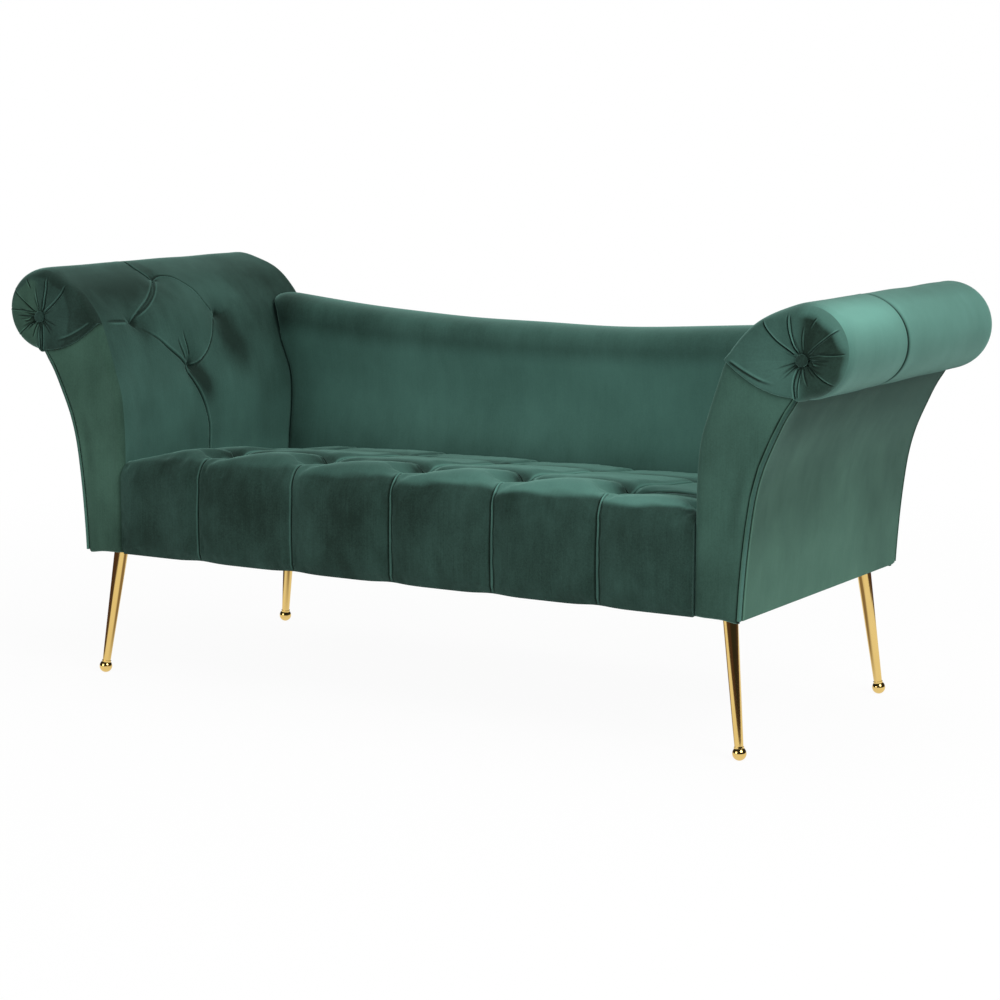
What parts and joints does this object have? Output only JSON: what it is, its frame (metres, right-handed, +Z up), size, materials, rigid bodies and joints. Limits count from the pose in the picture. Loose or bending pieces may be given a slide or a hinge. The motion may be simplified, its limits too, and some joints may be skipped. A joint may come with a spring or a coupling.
{
  "type": "fainting couch",
  "caption": "Fainting couch with scrolled arms, a low curved back, a tufted velvet seat and splayed gold metal legs with ball feet.",
  "frame": {"origin": "centre of the couch's footprint on the floor", "axes": "+X along the length towards the right arm as seen from the front, +Y to the back, +Z up"},
  "size_m": [1.6386, 0.653, 0.7311],
  "materials": {
    "velvet": "matte",
    "gold": "polished",
    "timber": "matte",
    "plywood": "matte",
    "board": "matte",
    "foam": "matte",
    "black_cloth": "matte",
    "clip_plastic": "matte",
    "steel": "satin"
  },
  "bodies": {
    "root": {"seat_front_rail": "timber", "seat_back_rail": "timber", "seat_left_rail": "timber", "seat_right_rail": "timber", "seat_middle_rail": "timber", "seat_corner_blocks": "timber", "seat_springs": "steel", "spring_clips": "steel", "spring_cloth": "black_cloth", "seat_foam": "foam", "seat_cover": "velvet", "dust_cover": "black_cloth", "back_left_post": "timber", "back_right_post": "timber", "back_middle_posts": "timber", "back_top_rail": "timber", "back_webbing": "black_cloth", "back_foam": "foam", "back_cover": "velvet", "back_outer_cover": "velvet", "left_arm_front_board": "plywood", "left_arm_back_board": "plywood", "left_arm_bottom_rail": "timber", "left_arm_battens": "timber", "left_arm_roll_core": "board", "left_arm_liner": "board", "left_arm_cover": "velvet", "left_arm_side_board": "plywood", "left_arm_outer_cover": "velvet", "left_arm_front_facing": "velvet", "left_arm_back_facing": "velvet", "left_arm_front_scroll": "velvet", "left_arm_back_scroll": "velvet", "right_arm_front_board": "plywood", "right_arm_back_board": "plywood", "right_arm_bottom_rail": "timber", "right_arm_battens": "timber", "right_arm_roll_core": "board", "right_arm_liner": "board", "right_arm_cover": "velvet", "right_arm_side_board": "plywood", "right_arm_outer_cover": "velvet", "right_arm_front_facing": "velvet", "right_arm_back_facing": "velvet", "right_arm_front_scroll": "velvet", "right_arm_back_scroll": "velvet", "scroll_buttons": "velvet", "tuft_clips": "clip_plastic", "arm_bolts": "steel", "leg_screws": "steel", "front_left_leg": "gold", "front_right_leg": "gold", "back_left_leg": "gold", "back_right_leg": "gold", "front_left_foot": "gold", "front_right_foot": "gold", "back_left_foot": "gold", "back_right_foot": "gold"}
  },
  "joints": []
}
